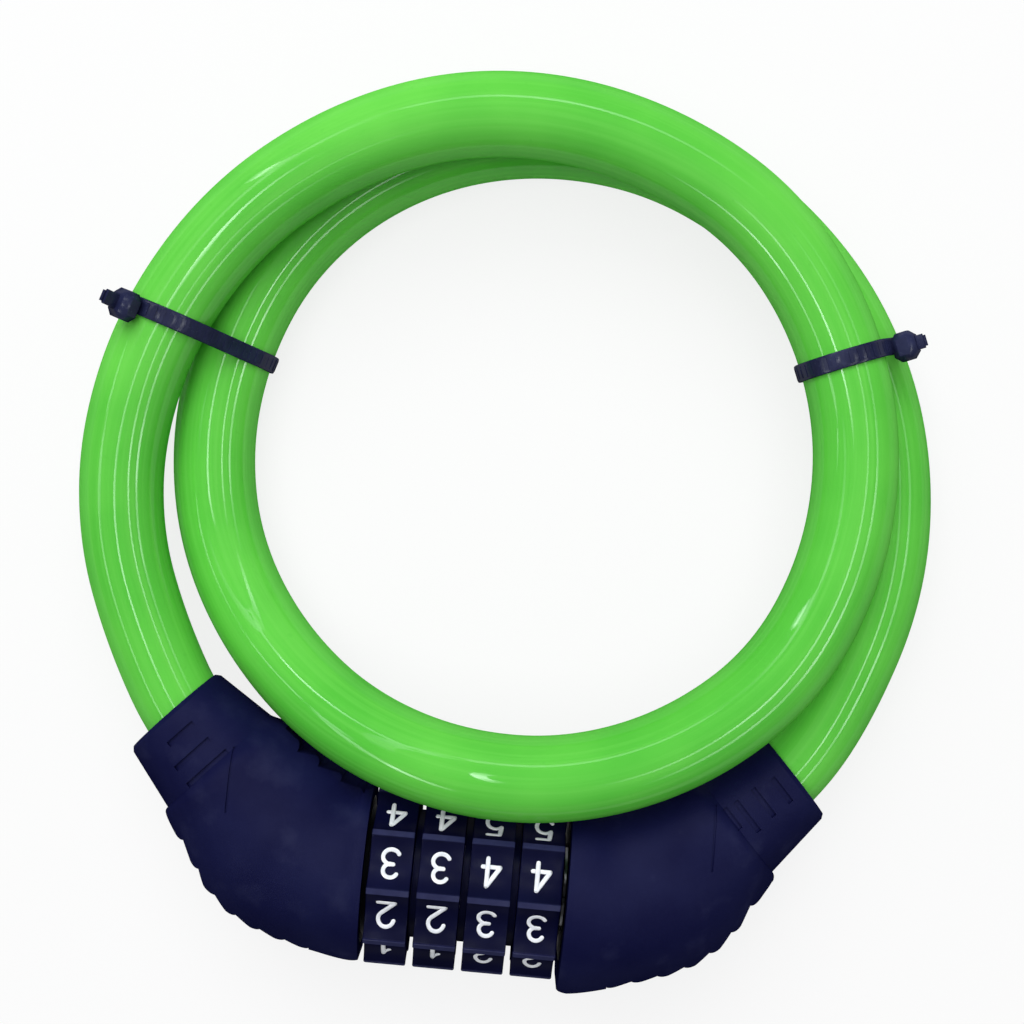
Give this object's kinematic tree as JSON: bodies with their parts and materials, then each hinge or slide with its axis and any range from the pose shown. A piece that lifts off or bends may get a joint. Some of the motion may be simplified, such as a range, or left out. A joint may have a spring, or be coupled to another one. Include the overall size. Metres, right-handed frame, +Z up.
{
  "type": "combination cable lock",
  "caption": "Coiled combination cable lock: numbered dials on a keyed tube between two bent grip housings, a pull-out locking plug and a sheathed steel cable held by ties.",
  "frame": {"origin": "on the surface the lock rests on, under the middle of the lock body's box (both housings with the dials)", "axes": "+X along the lock axis towards the pull-out plug, +Y towards the middle of the cable coil, +Z up from the surface"},
  "size_m": [0.1245, 0.13, 0.0313],
  "materials": {
    "green_sheath": "clear-coated glossy green PVC",
    "housing_plastic": "satin navy-black moulding",
    "dial_plastic": "semi-gloss navy-black moulding",
    "tie_nylon": "satin black nylon",
    "wire_rope": "bright stranded steel",
    "brass": "turned",
    "cast_zinc": "as cast",
    "steel": "machined"
  },
  "bodies": {
    "barrel": {"barrel_cover": "housing_plastic", "barrel_core": "cast_zinc", "core_tube": "steel", "detent_leaf": "steel", "spacer_1": "steel", "spacer_2": "steel", "spacer_3": "steel", "wave_washer": "steel", "retaining_ring": "steel", "barrel_core_pin": "steel", "barrel_ferrule": "cast_zinc", "barrel_cable_pin": "steel", "cable_sheath": "green_sheath", "wire_core": "wire_rope", "tie_left": "tie_nylon", "tie_right": "tie_nylon"},
    "plug": {"plug_cover": "housing_plastic", "plug_core": "cast_zinc", "locking_pin": "steel", "plug_core_pin": "steel", "plug_ferrule": "cast_zinc", "plug_cable_pin": "steel"},
    "dial_1_body": {"dial_1": "dial_plastic", "code_ring_1": "brass"},
    "dial_2_body": {"dial_2": "dial_plastic", "code_ring_2": "brass"},
    "dial_3_body": {"dial_3": "dial_plastic", "code_ring_3": "brass"},
    "dial_4_body": {"dial_4": "dial_plastic", "code_ring_4": "brass"}
  },
  "joints": [
    {"name": "plug_pull", "type": "slide", "parent": "barrel", "child": "plug", "axis": [1, 0, 0], "range_m": [0, 0.036], "deforming": ["cable_sheath", "wire_core"]},
    {"name": "dial_1_spin", "type": "hinge", "parent": "barrel", "child": "dial_1_body", "pos_m": [-0.0105, -0.0061, 0.0136], "axis": [1, 0, 0], "continuous": true, "deforming": ["detent_leaf"]},
    {"name": "dial_2_spin", "type": "hinge", "parent": "barrel", "child": "dial_2_body", "pos_m": [-0.0035, -0.0061, 0.0136], "axis": [1, 0, 0], "continuous": true},
    {"name": "dial_3_spin", "type": "hinge", "parent": "barrel", "child": "dial_3_body", "pos_m": [0.0035, -0.0061, 0.0136], "axis": [1, 0, 0], "continuous": true},
    {"name": "dial_4_spin", "type": "hinge", "parent": "barrel", "child": "dial_4_body", "pos_m": [0.0105, -0.0061, 0.0136], "axis": [1, 0, 0], "continuous": true}
  ]
}
